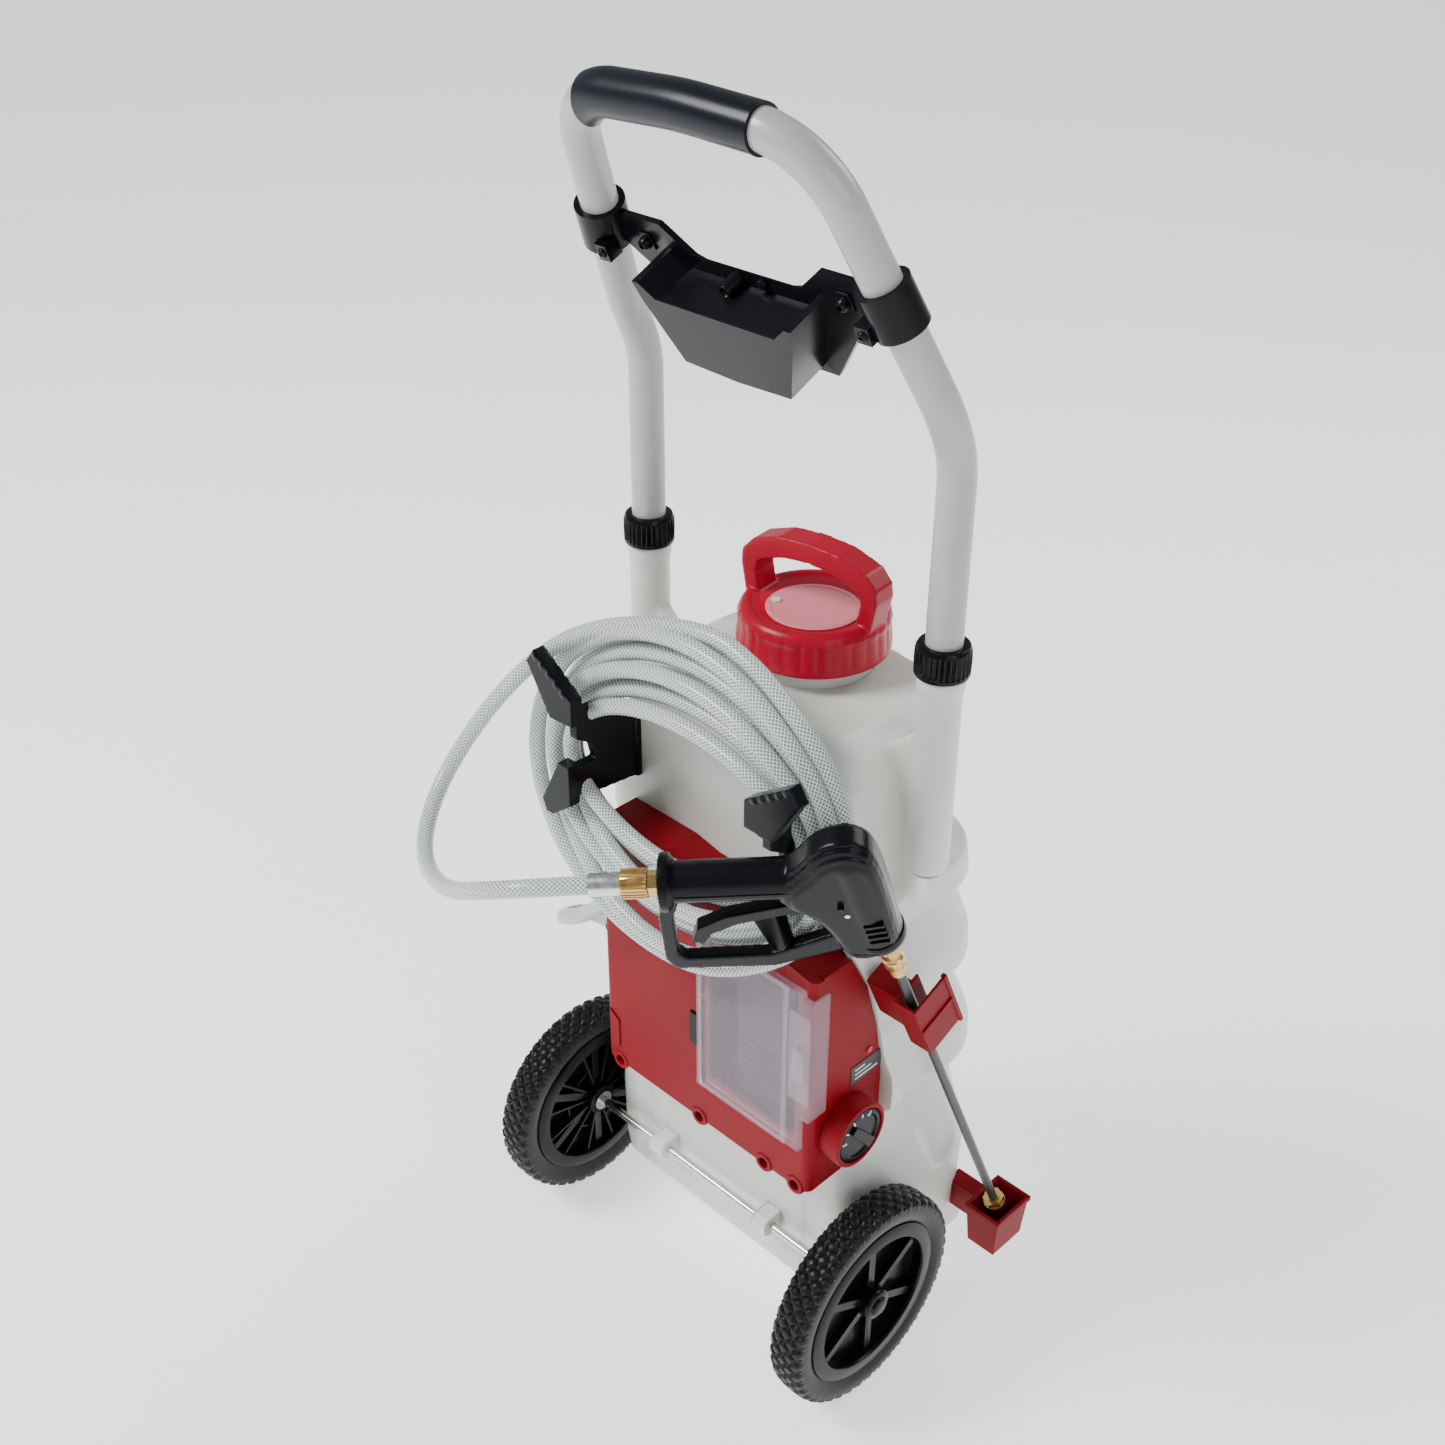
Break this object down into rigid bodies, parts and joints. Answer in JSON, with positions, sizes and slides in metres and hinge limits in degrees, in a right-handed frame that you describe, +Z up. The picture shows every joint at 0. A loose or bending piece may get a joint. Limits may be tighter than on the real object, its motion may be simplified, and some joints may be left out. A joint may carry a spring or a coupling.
{
  "type": "wheeled battery sprayer",
  "caption": "Trolley sprayer: translucent tank on two wheels with telescopic hoop handle, red pump housing, coiled hose on hooks and a trigger lance.",
  "frame": {"origin": "middle of the footprint on the floor, level with the bottoms of the wheels; the axle runs along X 22 mm in front of it and 100 mm up", "axes": "+X to the right when facing the working side, the side where the lance stands; +Y from the working face to the back of the tank; +Z up"},
  "size_m": [0.4211, 0.4358, 1.0899],
  "materials": {
    "tank": "satin, slightly translucent",
    "clip_white": "satin",
    "steel": "satin",
    "tyre": "matt",
    "black_plastic": "satin",
    "grip": "satin",
    "tube_paint": "satin",
    "lid_red": "semi-gloss",
    "cover_red": "fine texture",
    "seal": "matt",
    "pale_plastic": "satin",
    "battery_case": "satin",
    "door_clear": "frosted clear plastic",
    "label": "satin",
    "button_red": "gloss",
    "hose": "clear braided plastic",
    "ferrule": "satin",
    "brass": "satin",
    "lance": "satin"
  },
  "bodies": {
    "chassis": {"tank_shell": "tank", "axle_clips": "clip_white", "axle": "steel", "axle_washers": "steel", "door_pin": "steel", "trigger_pin": "steel", "cover_screws": "steel", "hook_screws": "steel", "hose_hook_left": "black_plastic", "hose_hook_right": "black_plastic", "gun_body": "black_plastic", "pump": "black_plastic", "hose_outlet": "black_plastic", "battery_shelf": "black_plastic", "pump_cover": "cover_red", "lance_clip": "cover_red", "lance_cup": "cover_red", "strainer_basket": "pale_plastic", "leg_sleeve_left": "pale_plastic", "leg_sleeve_right": "pale_plastic", "suction_stub": "pale_plastic", "battery": "battery_case", "gauge_plate": "label", "hose_supply": "hose", "hose_coil": "hose", "hose_free": "hose", "hose_ferrule": "ferrule", "gun_tail": "brass", "gun_coupler": "brass", "nozzle_body": "brass", "lance_tube": "lance"},
    "wheel_left": {"tyre_left": "tyre", "wheel_rim_left": "black_plastic", "hub_cap_left": "black_plastic"},
    "wheel_right": {"tyre_right": "tyre", "wheel_rim_right": "black_plastic", "hub_cap_right": "black_plastic"},
    "handle": {"handle_tube": "tube_paint", "hand_grip": "grip", "tube_clamp_left": "black_plastic", "tube_clamp_right": "black_plastic", "handle_tray": "black_plastic", "tray_screws": "steel"},
    "collar_left": {"twist_collar_left": "black_plastic"},
    "collar_right": {"twist_collar_right": "black_plastic"},
    "lid": {"tank_lid": "lid_red", "lid_gasket": "seal", "vent_valve": "pale_plastic"},
    "door": {"battery_door": "door_clear"},
    "rocker": {"rocker_switch": "black_plastic"},
    "knob": {"pressure_knob": "black_plastic"},
    "button": {"status_button": "button_red"},
    "trigger_lever": {"trigger": "black_plastic"},
    "lock_pin": {"trigger_lock": "black_plastic"},
    "nozzle": {"nozzle_cap": "brass"},
    "hose_nut": {"swivel_nut": "brass"}
  },
  "joints": [
    {"name": "wheel_left_spin", "type": "hinge", "parent": "chassis", "child": "wheel_left", "pos_m": [-0.182, -0.022, 0.1], "axis": [1, 0, 0], "continuous": true},
    {"name": "wheel_right_spin", "type": "hinge", "parent": "chassis", "child": "wheel_right", "pos_m": [0.172, -0.022, 0.1], "axis": [1, 0, 0], "continuous": true},
    {"name": "handle_slide", "type": "slide", "parent": "chassis", "child": "handle", "axis": [0, 0, -1], "range_m": [0, 0.12]},
    {"name": "collar_left_twist", "type": "hinge", "parent": "chassis", "child": "collar_left", "pos_m": [-0.1605, 0.0536, 0.694], "axis": [0, 0, 1], "range_deg": [0, 90]},
    {"name": "collar_right_twist", "type": "hinge", "parent": "chassis", "child": "collar_right", "pos_m": [0.1505, 0.0536, 0.694], "axis": [0, 0, 1], "range_deg": [0, 90]},
    {"name": "lid_lift", "type": "slide", "parent": "chassis", "child": "lid", "axis": [0, 0, 1], "range_m": [0, 0.08]},
    {"name": "battery_door_swing", "type": "hinge", "parent": "chassis", "child": "door", "pos_m": [0.011, -0.0563, 0.346], "axis": [0, 0, -1], "range_deg": [0, 2.4]},
    {"name": "rocker_tilt", "type": "hinge", "parent": "chassis", "child": "rocker", "pos_m": [-0.0005, -0.0525, 0.314], "axis": [1, 0, 0], "range_deg": [-5, 5]},
    {"name": "pressure_knob_turn", "type": "hinge", "parent": "chassis", "child": "knob", "pos_m": [0.149, -0.011, 0.266], "axis": [1, 0, 0], "range_deg": [0, 270]},
    {"name": "status_button_press", "type": "slide", "parent": "chassis", "child": "button", "axis": [-1, 0, 0], "range_m": [0, 0.0008], "stiffness_N_per_m": 250, "springref_m": -0.001},
    {"name": "trigger_pull", "type": "hinge", "parent": "chassis", "child": "trigger_lever", "pos_m": [0.17434, -0.06991, 0.55791], "axis": [-0.6481, 0.6934, 0.3148], "range_deg": [0, 10], "stiffness_Nm_per_rad": 1.2, "springref_deg": -8.59},
    {"name": "trigger_lock_press", "type": "slide", "parent": "chassis", "child": "lock_pin", "axis": [-0.6481, 0.6934, 0.3148], "range_m": [0, 0.002]},
    {"name": "nozzle_cap_turn", "type": "hinge", "parent": "chassis", "child": "nozzle", "pos_m": [0.185, 0.15168, 0.09182], "axis": [0, 0.4134, -0.9105], "range_deg": [0, 180]},
    {"name": "hose_nut_turn", "type": "hinge", "parent": "chassis", "child": "hose_nut", "pos_m": [0.06658, -0.1749, 0.56732], "axis": [-0.7495, -0.654, -0.1025], "continuous": true}
  ]
}
